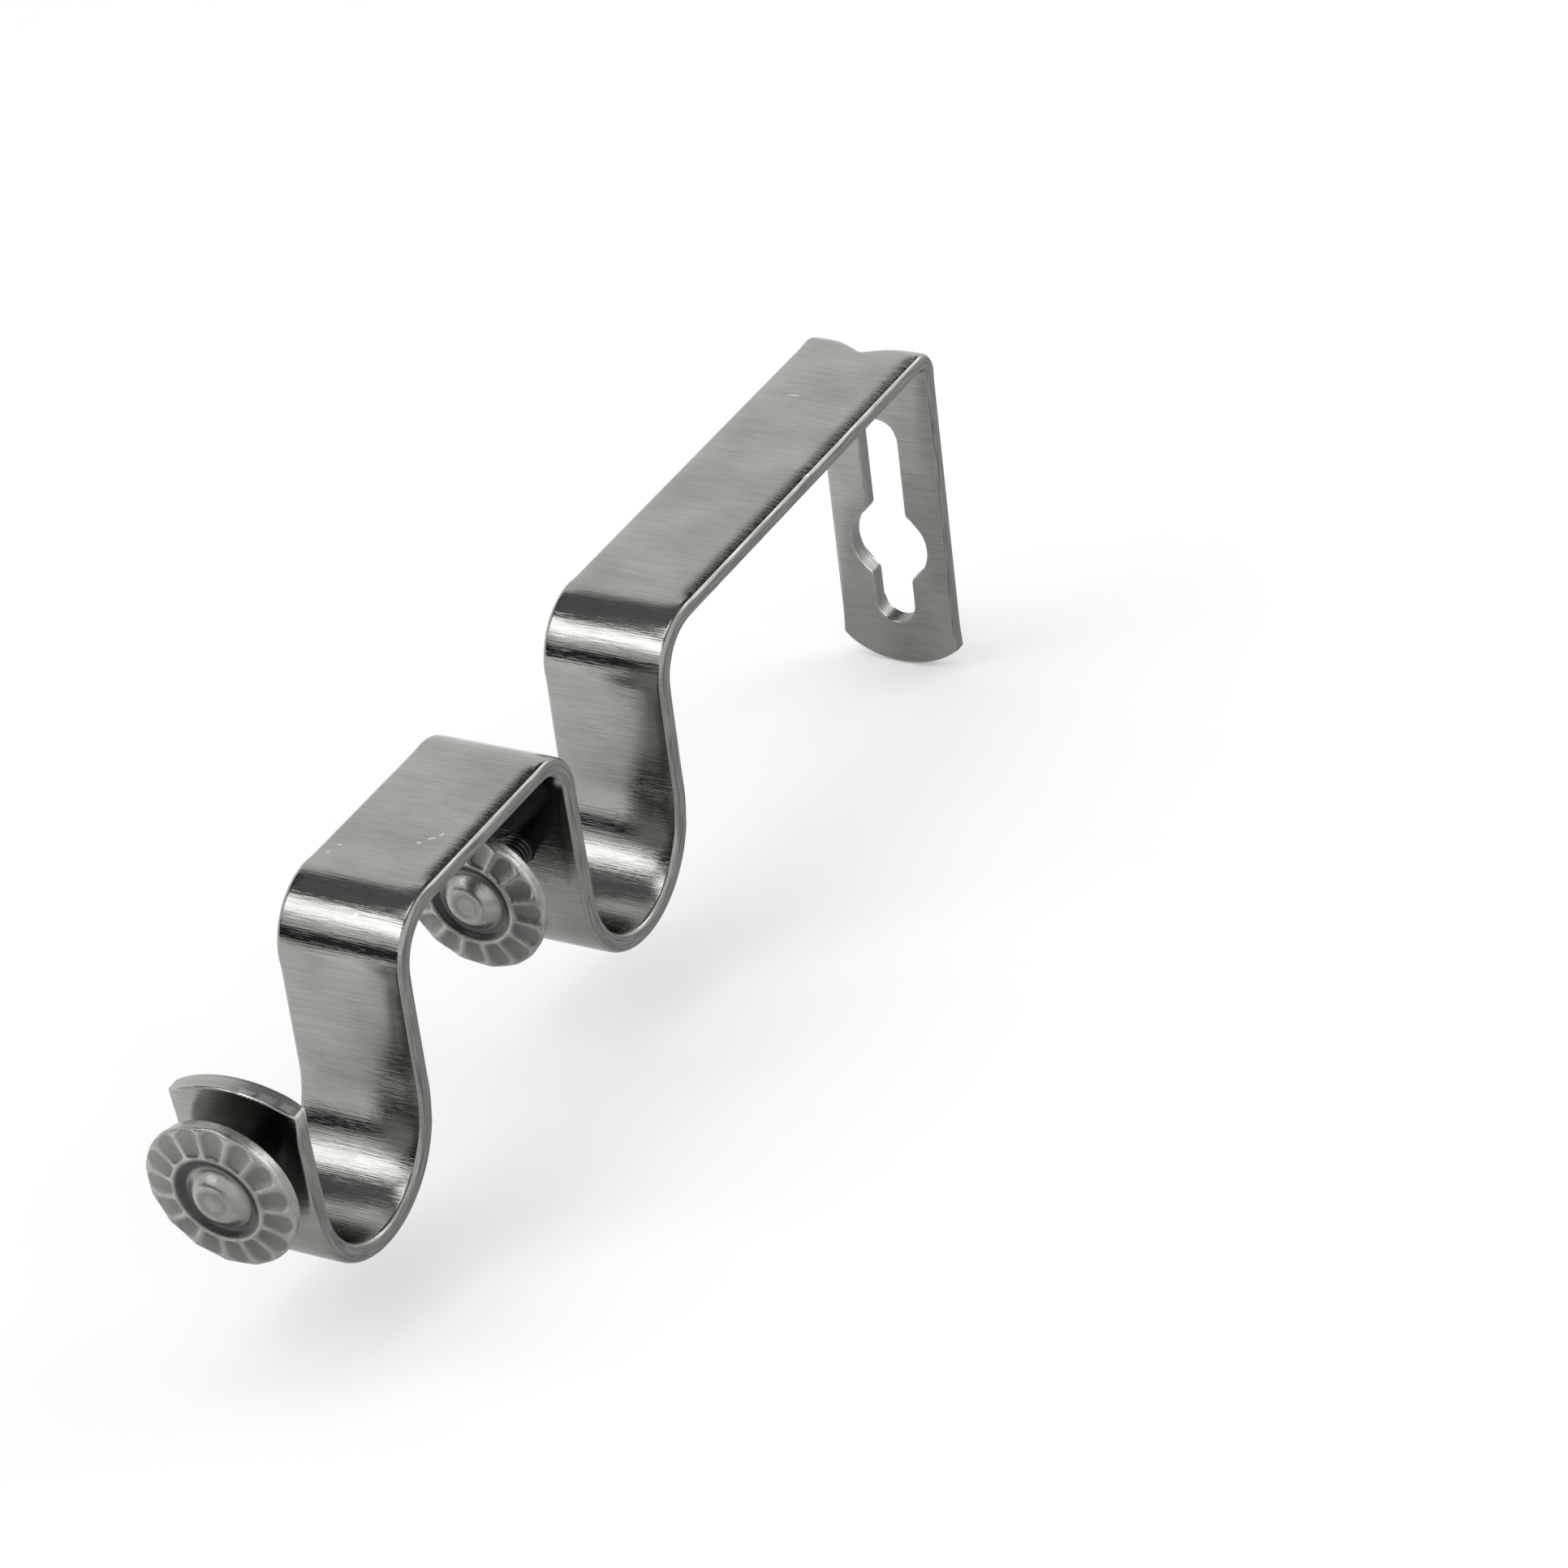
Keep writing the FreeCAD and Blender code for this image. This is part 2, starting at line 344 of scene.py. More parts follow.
def arc_points(centre, radius, start, end, count):
    """Points on an arc in the flat plane, angles counted from the along direction towards across."""
    angles = [start + (end - start) * index / count for index in range(count + 1)]
    return [(centre[0] + radius * cosine(a), centre[1] + radius * sine(a)) for a in angles]


def outline_loop(bar, rows):
    """Outline of the flat bar, metal on its left."""
    plate_span = math.degrees(math.asin(half_width / plate_end_radius))
    lip_span = math.degrees(math.asin(half_width / lip_end_radius))
    plate_side = plate_end_radius * (1 - cosine(plate_span))
    lip_side = bar.length - lip_end_radius * (1 - cosine(lip_span))
    side = [row for row in rows if plate_side + clear_of_corner < row < lip_side - clear_of_corner]
    plate_centre = (plate_end_radius, 0)
    lip_centre = (bar.length - lip_end_radius, 0)
    loop = arc_points(plate_centre, plate_end_radius, 180 - plate_span, 180 + plate_span, bar_end_steps)
    loop += [(row, -half_width) for row in side]
    loop += arc_points(lip_centre, lip_end_radius, -lip_span, lip_span, bar_end_steps)
    loop += [(row, half_width) for row in reversed(side)]
    return loop


def keyhole_loop(centre):
    """Keyhole in the plate, metal on the left of the loop."""
    reach = keyhole_radius + keyhole_corner_radius
    corner_across = keyhole_half_slot + keyhole_corner_radius
    corner_along = math.sqrt(reach ** 2 - corner_across ** 2)
    turn = math.degrees(math.atan2(corner_across, corner_along))
    upper_tip = keyhole_slot_rise - keyhole_half_slot
    lower_tip = keyhole_slot_drop - keyhole_half_slot
    upper_corner = (corner_along, corner_across)
    lower_corner = (-corner_along, corner_across)
    half = arc_points((upper_tip, 0), keyhole_half_slot, 0, 90, slot_end_steps)
    half += [(z, keyhole_half_slot) for z in upper_slot_points]
    half += arc_points(upper_corner, keyhole_corner_radius, 270, 180 + turn, keyhole_corner_steps)
    half += arc_points((0, 0), keyhole_radius, turn, 180 - turn, keyhole_round_steps)[1:]
    half += arc_points(lower_corner, keyhole_corner_radius, -turn, -90, keyhole_corner_steps)[1:]
    half += [(-z, keyhole_half_slot) for z in lower_slot_points]
    half += arc_points((-lower_tip, 0), keyhole_half_slot, 90, 180, slot_end_steps)
    mirrored = [(z, -across) for z, across in reversed(half[1:-1])]
    return [(centre + z, across) for z, across in reversed(half + mirrored)]


def round_hole_loop(centre, radius):
    return arc_points((centre, 0), radius, 360, 0, hole_steps)[:-1]


def loop_outwards(loop):
    """Direction away from the metal at each point of a loop, lengthened at corners."""
    outwards = []
    for index, point in enumerate(loop):
        before = Vector(point) - Vector(loop[index - 1])
        after = Vector(loop[(index + 1) % len(loop)]) - Vector(point)
        first = Vector((before.y, -before.x)).normalized()
        second = Vector((after.y, -after.x)).normalized()
        middle = (first + second).normalized()
        outwards.append(middle / max(middle.dot(first), corner_stretch_limit))
    return outwards


def inside_loop(point, loop):
    inside = False
    for index in range(len(loop)):
        (a, b), (c, d) = loop[index - 1], loop[index]
        if (b > point[1]) != (d > point[1]) and point[0] < a + (c - a) * (point[1] - b) / (d - b):
            inside = not inside
    return inside


def in_metal(point, outline, holes):
    return inside_loop(point, outline) and not any(inside_loop(point, hole) for hole in holes)


def outline_roundings(bar, loop):
    """Edge rounding at each point of the outline: small at the cut ends, full along the sides."""
    roundings = []
    for along, _ in loop:
        from_end = min(along, bar.length - along)
        share = min(max((from_end - cut_edge_length) / cut_edge_fade, 0), 1)
        share = share ** 2 * (3 - 2 * share)
        roundings.append(cut_edge_rounding + (rolled_edge_rounding - cut_edge_rounding) * share)
    return roundings


def edge_section(rounding):
    """Steps over an edge from the upper face to the lower: inset, height and how far it has turned."""
    over = []
    for turned in range(0, 91, 15):
        inset = rounding * (1 - sine(turned))
        over.append((inset, half_thickness - rounding * (1 - cosine(turned)), turned))
    under = [(inset, -height, 180 - turned) for inset, height, turned in reversed(over)]
    flat = half_thickness - rounding
    return over + [(0.0, height * flat, 90.0) for height in (0.5, 0.0, -0.5)] + under


def shoulder_share(bar, along, side):
    """Part of the shoulder that a face keeps at a place along the bar, all of it on straight runs."""
    share = 1.0
    for start, length, turn, _, _, _ in bar.runs:
        if turn:
            away = max(start - along, along - start - length, 0)
            near = max(0.0, 1 - away / bend_fade) ** 2
            kept = outer_bend_share if turn * side < 0 else inner_bend_share
            share += (kept - 1) * near * min(1, abs(turn) / full_bend_turn)
    return share


def shoulder_drop(bar, along, across, side):
    """How far a face of the bar has fallen at a place on it, and its slope across the bar there."""
    share = shoulder_share(bar, along, side) * shoulder_fall
    reach = max(abs(across) - half_width + shoulder_width, 0) / shoulder_width
    return share * reach ** 2, math.copysign(2 * share * reach / shoulder_width, across)


def dart_line(across, depth, radius):
    """Depth of the dart's surface below the outer corner."""
    across = abs(across)
    tangent = radius * sine(dart_flank_angle)
    if across < tangent:
        return depth - radius + math.sqrt(radius ** 2 - across ** 2)
    fall = (across - tangent) * sine(dart_flank_angle) / cosine(dart_flank_angle)
    return depth - radius + radius * cosine(dart_flank_angle) - fall


def press_dart(point, height):
    """Push a point of the corner inwards to the dart, with soft shoulders."""
    share = (height + half_thickness) / (2 * half_thickness)
    depth = dart_depth + 2 * half_thickness * share
    radius = dart_bottom_radius + 2 * half_thickness * share
    line = dart_line(point.x, depth, radius)
    here = (arm_top - point.y - point.z) / math.sqrt(2)
    pressed = (here + line + math.sqrt((here - line) ** 2 + dart_softness ** 2)) / 2
    shift = max(pressed - here - dart_fade_out, 0) / math.sqrt(2)
    return point + Vector((0, -shift, -shift))


class Skin:
    """Vertices with their flat coordinates, normals and distances from an edge, and the faces."""

    def __init__(self):
        self.flat = []
        self.normals = []
        self.from_edge = []
        self.faces = []

    def add(self, along, across, height, normal, from_edge):
        self.flat.append((along, across, height))
        self.normals.append(normal)
        self.from_edge.append(from_edge)
        return len(self.flat) - 1


def wrap_edge(skin, bar, loop, roundings):
    """Rounded edge and side wall along a loop; gives the vertices of its upper and lower rings."""
    outwards = loop_outwards(loop)
    sections = [edge_section(rounding) for rounding in roundings]
    rings = []
    for station in range(len(sections[0])):
        ring = []
        for (along, across), out, section in zip(loop, outwards, sections):
            inset, height, turned = section[station]
            place = Vector((along, across)) - out * inset
            fall, slope = shoulder_drop(bar, place.x, place.y, 1 if turned <= 90 else -1)
            out = out.normalized()
            out_across = out.y * sine(turned) + slope * abs(cosine(turned))
            normal = bar.direct(place.x, out.x * sine(turned), out_across, cosine(turned))
            low = height * (1 - fall / half_thickness)
            from_edge = max(inset, half_thickness - abs(height))
            ring.append(skin.add(place.x, place.y, low, normal, from_edge))
        rings.append(ring)
    count = len(loop)
    for upper, lower in zip(rings, rings[1:]):
        for index in range(count):
            after = (index + 1) % count
            skin.faces.append((upper[index], lower[index], lower[after], upper[after]))
    return rings[0], rings[-1]


def both_sides(half, middle):
    """Places across the bar from those of one half."""
    return [-across for across in reversed(half)] + middle + half


def cover_faces(skin, bar, rows, corner, loops, rings):
    """Upper and lower faces of the bar between the rings of all its edges."""
    edge_tree = KDTree(sum(len(loop) for loop in loops))
    for loop in loops:
        for along, across in loop:
            edge_tree.insert((along, across, 0), 0)
    edge_tree.balance()
    border = [index for upper, _ in rings for index in upper]
    places = [Vector(skin.flat[index][:2]) for index in border]
    edges = []
    first = 0
    for upper, _ in rings:
        count = len(upper)
        edges += [(first + index, first + (index + 1) % count) for index in range(count)]
        first += count
    coarse = both_sides(coarse_across, [0])
    fine = [fine_across_gap * index for index in range(-fine_across_count, fine_across_count + 1)]
    fine = both_sides(fine_across_outer, fine)
    inner = []
    for row in rows:
        for across in fine if abs(row - corner) < dart_reach else coarse:
            gap = edge_tree.find((row, across, 0))[2]
            if gap > clear_of_edge and in_metal((row, across), loops[0], loops[1:]):
                inner.append((row, across, gap))
    places += [Vector((row, across)) for row, across, _ in inner]
    _, _, triangles, sources, _, _ = delaunay_2d_cdt(places, edges, [], 0, 1e-5, True)
    home = [source[0] for source in sources]
    outer_ring = places[:len(loops[0])]
    for side, ring_index in ((1, 0), (-1, 1)):
        vertices = [index for pair in rings for index in pair[ring_index]]
        for row, across, gap in inner:
            height = side * (half_thickness - shoulder_drop(bar, row, across, side)[0])
            vertices.append(skin.add(row, across, height, None, gap))
        for triangle in triangles:
            corners = [home[index] for index in triangle]
            if max(corners) < len(border):
                middle = sum((places[index] for index in corners), Vector((0, 0))) / 3
                if not in_metal(middle, outer_ring, loops[1:]):
                    continue
            skin.faces.append([vertices[index] for index in corners])


def keep_attribute(mesh, name, kind, values):
    attribute = mesh.attributes.new(name, kind, "POINT")
    flat = [part for value in values for part in value] if kind == "FLOAT_VECTOR" else values
    attribute.data.foreach_set("vector" if kind == "FLOAT_VECTOR" else "value", flat)


def new_piece(name, vertices, faces, material, place=Matrix()):
    """Object with a smooth mesh whose faces all look outwards, from points in mm set in their place."""
    mesh = bpy.data.meshes.new(name)
    mesh.from_pydata([(place @ vertex) * MM for vertex in vertices], [], faces)
    shell = bmesh.new()
    shell.from_mesh(mesh)
    bmesh.ops.recalc_face_normals(shell, faces=shell.faces)
    shell.to_mesh(mesh)
    shell.free()
    mesh.shade_smooth()
    mesh.materials.append(material)
    piece = bpy.data.objects.new(name, mesh)
    bpy.context.scene.collection.objects.link(piece)
    return piece


def make_bar(bar, rear_screw, front_screw, material):
    rows, corner = row_places(bar)
    loops = [
        outline_loop(bar, rows),
        keyhole_loop(plate_drop),
        round_hole_loop(rear_screw, stud_hole_radius),
        round_hole_loop(front_screw, stud_hole_radius),
    ]
    skin = Skin()
    rings = [wrap_edge(skin, bar, loops[0], outline_roundings(bar, loops[0]))]
    for hole in loops[1:]:
        rings.append(wrap_edge(skin, bar, hole, [punched_edge_rounding] * len(hole)))
    cover_faces(skin, bar, rows, corner, loops, rings)
    points = [press_dart(bar.place(*flat), flat[2]) for flat in skin.flat]
    piece = new_piece("bent_bar", points, skin.faces, material)
    keep_attribute(piece.data, "flat_place", "FLOAT_VECTOR", skin.flat)
    keep_attribute(piece.data, "from_edge", "FLOAT", skin.from_edge)
    smooth = [vertex.vector for vertex in piece.data.vertex_normals]
    normals = [own if own else found for own, found in zip(skin.normals, smooth)]
    piece.data.normals_split_custom_set_from_vertices(normals)
    return piece


def flute_scoop(radius, angle):
    """How deep a flute is at a place on the face of a head, and how dark its hollow is, 0 to 1."""
    sector = 360 / flute_count
    off = (angle + sector / 2) % sector - sector / 2
    along = radius * cosine(off)
    across = abs(radius * sine(off))
    apex = flute_ridge_width / 2 / sine(sector / 2)
    half = (along - apex) * sine(sector / 2) / cosine(sector / 2)
    half *= 1 - flute_pinch * max(0, (along - flute_pinch_start) / flute_pinch_length) ** 2
    towards_end = max(0, 1 - (along - flute_start_radius) / flute_end_length)
    share = (towards_end ** 3 + (across / half) ** 3) ** (1 / 3)
    if share >= 1 or along < flute_start_radius:
        return 0.0, 0.0
    arch = flute_arch_radius - flute_arch_rise * (across / half) ** 2
    inside_arch = min(max((arch - along) / flute_arch_softness, 0), 1)
    gain = flute_mouth_gain * (along - apex) / (head_front_radius - apex)
    deepest = flute_mouth_depth * (flute_root_share + gain)
    deepest *= 1 - share ** 3
    out_share = (along - flute_start_radius) / (head_front_radius - flute_start_radius)
    dark = (flute_hollow - flute_hollow_fall * out_share) * inside_arch
    kept = flute_outside_share + (1 - flute_outside_share) * inside_arch
    return deepest * kept, dark * (1 - share ** 6)


def head_stations():
    """Steps over the head from the button's middle to the flutes: radius, depth and hollow."""
    steps = []
    for radius in dimple_radii:
        depth = button_depth - button_dimple * (1 - (radius / button_flat_radius) ** 2)
        ring = max(0, 1 - abs(radius - dimple_ring_radius) / dimple_ring_width)
        steps.append((radius, depth, dimple_hollow + dimple_ring_hollow * ring))
    for step in range(button_steps + 1):
        reach = (button_radius - button_flat_radius) * step / button_steps
        rise = (button_depth - groove_depth) * (1 + cosine(180 * step / button_steps)) / 2
        hollow = button_hollow + button_foot_hollow * (step / button_steps) ** 6
        steps.append((button_flat_radius + reach, groove_depth + rise, hollow))
    groove_width = ring_inner_radius - button_radius
    groove_outer_depth = ring_depth - groove_outer_drop
    for turned in range(10, 91, 10):
        depth = groove_outer_depth - (groove_outer_depth - groove_depth) * cosine(turned) ** 2
        steps.append((button_radius + groove_width * (turned / 90), depth, 1 - (turned / 90) ** 6))
    return steps + [(radius, ring_depth + rise, 0.0) for radius, rise in ring_steps]


def face_depth(radius):
    """Depth of the fluted face between its ridges, which falls from the ring to the rim."""
    fall = (radius - ring_outer_radius) * (ring_depth - head_rim_depth)
    return ring_depth - fall / (head_front_radius - ring_outer_radius)


def turned_faces(turns, ring_count):
    """Faces of a turned body, a fan and then bands between its rings, and its last ring."""
    faces = [(0, 1 + index, 1 + (index + 1) % turns) for index in range(turns)]
    for ring in range(ring_count - 1):
        first = 1 + ring * turns
        for index in range(turns):
            after = (index + 1) % turns
            faces.append((first + index, first + turns + index, first + turns + after, first + after))
    last = 1 + (ring_count - 1) * turns
    return faces, [last + index for index in range(turns)]


def make_head(name, flute_angle, place, material):
    """Rosette head, drawn with its back at the origin and its front towards -Y."""
    turns = flute_count * steps_per_flute
    angles = [360 * index / turns for index in range(turns)]
    rings = [[station] * turns for station in head_stations()]
    for radius in face_radii:
        ring = []
        for angle in angles:
            scoop, hollow = flute_scoop(radius, angle)
            ring.append((radius, face_depth(radius) - scoop, hollow))
        rings.append(ring)
    for inset, drop in rim_steps:
        radius = head_front_radius - inset
        ring = []
        for angle in angles:
            scoop = flute_scoop(radius, angle)[0]
            wave = -rim_waviness * (1 - scoop / flute_mouth_depth)
            ring.append((radius + wave, face_depth(radius) - scoop - drop, 0.0))
        rings.append(ring)
    rings += [[(radius, depth, side_hollow)] * turns for radius, depth in side_steps]
    rings += [[(radius, depth, back_hollow)] * turns for radius, depth in back_steps]
    vertices = [Vector((0, -(button_depth - button_dimple), 0))]
    hollows = [middle_hollow]
    for ring in rings:
        for angle, (radius, depth, hollow) in zip(angles, ring):
            turned = angle + flute_angle
            vertices.append(Vector((radius * cosine(turned), -depth, radius * sine(turned))))
            hollows.append(hollow)
    faces, last_ring = turned_faces(turns, len(rings))
    piece = new_piece(name, vertices, faces + [last_ring], material, place)
    keep_attribute(piece.data, "hollow", "FLOAT", hollows)
    return piece


def thread_fall(turn_share):
    """How far the thread's flank has fallen below its crest, for a share of one pitch."""
    share = abs((turn_share % 1) - 0.5) * 2
    return thread_depth * min(max((share - thread_crest_share) / thread_flank_share, 0), 1)


def make_stud(name, gap, place, material):
    """Threaded stud from the head's bore to just short of the wall's inner face, along +Y."""
    start = -gap - head_bore_depth + stud_bore_recess
    end = 2 * half_thickness - stud_tip_recess
    count = math.floor((end - start) / (thread_pitch / stations_per_pitch))
    stations = [start + (end - start) * index / count for index in range(count + 1)]
    vertices = [Vector((0, start, 0))]
    roots = [0.0]
    for station in stations:
        chamfer = max(0, stud_chamfer - (station - start)) + max(0, stud_chamfer - (end - station))
        for index in range(stud_turns):
            angle = 360 * index / stud_turns
            fall = thread_fall(station / thread_pitch - angle / 360)
            radius = min(stud_radius - fall, stud_radius - chamfer)
            vertices.append(Vector((radius * sine(angle), station, radius * cosine(angle))))
            roots.append(fall / thread_depth)
    vertices.append(Vector((0, end, 0)))
    roots.append(0.0)
    faces, last_ring = turned_faces(stud_turns, count + 1)
    tip = len(vertices) - 1
    faces += [(tip, after, before) for before, after in zip(last_ring, last_ring[1:] + last_ring[:1])]
    piece = new_piece(name, vertices, faces, material, place)
    keep_attribute(piece.data, "hollow", "FLOAT", roots)
    return piece


def screw_place(bar, along, offset):
    """Place of a screw's part, off the wall's outer face along the axis that goes into the wall."""
    lean = bar.at(along)[2] - 90
    base = bar.place(along, 0, half_thickness)
    axis = Vector((0, cosine(lean), sine(lean)))
    return Matrix.Translation(base + axis * offset) @ Matrix.Rotation(math.radians(lean), 4, "X")


# Materials


def put(tree, kind, **settings):
    """New shader node with its settings, given before its inputs are joined."""
    node = tree.nodes.new(kind)
    for name, value in settings.items():
        setattr(node, name, value)
    return node


def feed(tree, node, name, source):
    """Give an input a number, a colour or another node's output."""
    if isinstance(source, bpy.types.NodeSocket):
        tree.links.new(source, node.inputs[name])
    else:
        node.inputs[name].default_value = source


def maths(tree, operation, first, second=0.0):
    node = put(tree, "ShaderNodeMath", operation=operation)
    feed(tree, node, 0, first)
    feed(tree, node, 1, second)
    return node.outputs[0]


def spread(tree, value, low, high, to_low=0.0, to_high=1.0):
    """Map a range of a value smoothly to another range."""
    node = put(tree, "ShaderNodeMapRange", interpolation_type="SMOOTHSTEP")
    sources = {"Value": value, "From Min": low, "From Max": high, "To Min": to_low, "To Max": to_high}
    for name, source in sources.items():
        feed(tree, node, name, source)
    return node.outputs["Result"]


def blend_colours(tree, share, first, second):
    node = put(tree, "ShaderNodeMix", data_type="RGBA")
    feed(tree, node, "Factor", share)
    feed(tree, node, 6, first)
    feed(tree, node, 7, second)
    return node.outputs[2]


def noise(tree, place, scale, detail=2.0, roughness=0.5):
    node = put(tree, "ShaderNodeTexNoise")
    feed(tree, node, "Vector", place)
    feed(tree, node, "Scale", scale)
    feed(tree, node, "Detail", detail)
    feed(tree, node, "Roughness", roughness)
    return node.outputs["Fac"]


def new_group(name, inputs, outputs):
    """Shader node group; gives its tree, its inputs by name and its output node."""
    tree = bpy.data.node_groups.new(name, "ShaderNodeTree")
    kinds = {"float": "NodeSocketFloat", "vector": "NodeSocketVector"}
    for socket, kind in inputs:
        tree.interface.new_socket(name=socket, in_out="INPUT", socket_type=kinds[kind])
    for socket, kind in outputs:
        tree.interface.new_socket(name=socket, in_out="OUTPUT", socket_type=kinds[kind])
    inlet = tree.nodes.new("NodeGroupInput")
    outlet = tree.nodes.new("NodeGroupOutput")
    return tree, inlet.outputs, outlet


def use_group(tree, group, **sources):
    node = put(tree, "ShaderNodeGroup", node_tree=group)
    for name, source in sources.items():
        feed(tree, node, name.replace("_", " "), source)
    return node.outputs


def brush_lines_group():
    """Fine lines left by brushing across the bar: even streaks, longer soft bands and slow patches."""
    tree, given, out = new_group(
        "brush_lines",
        [("Flat Place", "vector"), ("Lines", "float"), ("Bands", "float")],
        [("Streaks", "float"), ("Soft Bands", "float"), ("Patches", "float")],
    )
    split = put(tree, "ShaderNodeSeparateXYZ")
    feed(tree, split, 0, given["Flat Place"])
    layers = (("Streaks", given["Lines"], 0.15), ("Soft Bands", given["Bands"], 0.06))
    for socket, density, run in layers:
        join = put(tree, "ShaderNodeCombineXYZ")
        feed(tree, join, 0, maths(tree, "MULTIPLY", split.outputs[0], density))
        feed(tree, join, 1, maths(tree, "MULTIPLY", split.outputs[1], run))
        feed(tree, join, 2, maths(tree, "MULTIPLY", split.outputs[2], 0.4))
        feed(tree, out, socket, noise(tree, join.outputs[0], 1.0, 2.0, 0.6))
    feed(tree, out, "Patches", noise(tree, given["Flat Place"], 0.09, 2.0))
    return tree


def rubbed_edge_group():
    """Mask of an edge rubbed bright by handling, broken up by a fine noise."""
    tree, given, out = new_group(
        "rubbed_edge",
        [("Distance", "float"), ("Width", "float"), ("Place", "vector"), ("Breaks", "float")],
        [("Mask", "float")],
    )
    near = maths(tree, "SUBTRACT", 1.0, maths(tree, "DIVIDE", given["Distance"], given["Width"]))
    broken = spread(tree, noise(tree, given["Place"], given["Breaks"], 3.0), 0.3, 0.6)
    feed(tree, out, "Mask", maths(tree, "MULTIPLY", maths(tree, "MAXIMUM", near, 0.0), broken))
    return tree


def fine_grain_group():
    """Small grain of a metal surface and a slower mottling of its tone."""
    tree, given, out = new_group(
        "fine_grain",
        [("Place", "vector"), ("Grain Size", "float")],
        [("Grain", "float"), ("Mottling", "float")],
    )
    feed(tree, out, "Grain", noise(tree, given["Place"], given["Grain Size"], 4.0, 0.65))
    slow = maths(tree, "MULTIPLY", given["Grain Size"], 0.16)
    feed(tree, out, "Mottling", noise(tree, given["Place"], slow, 3.0, 0.6))
    return tree


def new_material(name, roughness, metallic=1.0):
    material = bpy.data.materials.new(name)
    material.use_nodes = True
    tree = material.node_tree
    shader = tree.nodes["Principled BSDF"]
    shader.inputs["Metallic"].default_value = metallic
    shader.inputs["Roughness"].default_value = roughness
    return material, tree, shader


def attribute(tree, name, output):
    return put(tree, "ShaderNodeAttribute", attribute_name=name).outputs[output]


def place_in_mm(tree):
    """Place in the piece's own frame, in mm."""
    place = put(tree, "ShaderNodeTexCoord").outputs["Object"]
    scaled = put(tree, "ShaderNodeVectorMath", operation="SCALE")
    feed(tree, scaled, 0, place)
    feed(tree, scaled, "Scale", 1 / MM)
    return scaled.outputs[0]


def raise_bumps(tree, shader, height, strength, distance):
    bump = put(tree, "ShaderNodeBump")
    feed(tree, bump, "Height", height)
    feed(tree, bump, "Strength", strength)
    feed(tree, bump, "Distance", distance)
    feed(tree, shader, "Normal", bump.outputs[0])


def nick_group():
    """Short bright nick on one side of the bar, its edge broken up by a fine noise."""
    tree, given, out = new_group(
        "nick",
        [("Flat Place", "vector"), ("Centre", "vector"), ("Turn", "float"), ("Length", "float")],
        [("Mask", "float")],
    )
    shifted = put(tree, "ShaderNodeVectorMath", operation="SUBTRACT")
    feed(tree, shifted, 0, given["Flat Place"])
    feed(tree, shifted, 1, given["Centre"])
    turned = put(tree, "ShaderNodeVectorRotate", rotation_type="Z_AXIS")
    feed(tree, turned, "Vector", shifted.outputs[0])
    feed(tree, turned, "Angle", given["Turn"])
    parts = put(tree, "ShaderNodeSeparateXYZ")
    feed(tree, parts, 0, turned.outputs[0])
    reach = maths(tree, "DIVIDE", maths(tree, "ABSOLUTE", parts.outputs[0]), given["Length"])
    side = maths(tree, "DIVIDE", maths(tree, "ABSOLUTE", parts.outputs[1]), nick_half_width)
    rise = maths(tree, "DIVIDE", maths(tree, "ABSOLUTE", parts.outputs[2]), nick_half_height)
    ragged = maths(tree, "MULTIPLY", noise(tree, given["Flat Place"], 2.2, 3.0, 0.7), 1.6)
    spot = maths(tree, "MAXIMUM", maths(tree, "MAXIMUM", reach, side), rise)
    mask = spread(tree, maths(tree, "ADD", spot, ragged), 1.7, 1.3, 0.0, nick_brightness)
    feed(tree, out, "Mask", mask)
    return tree


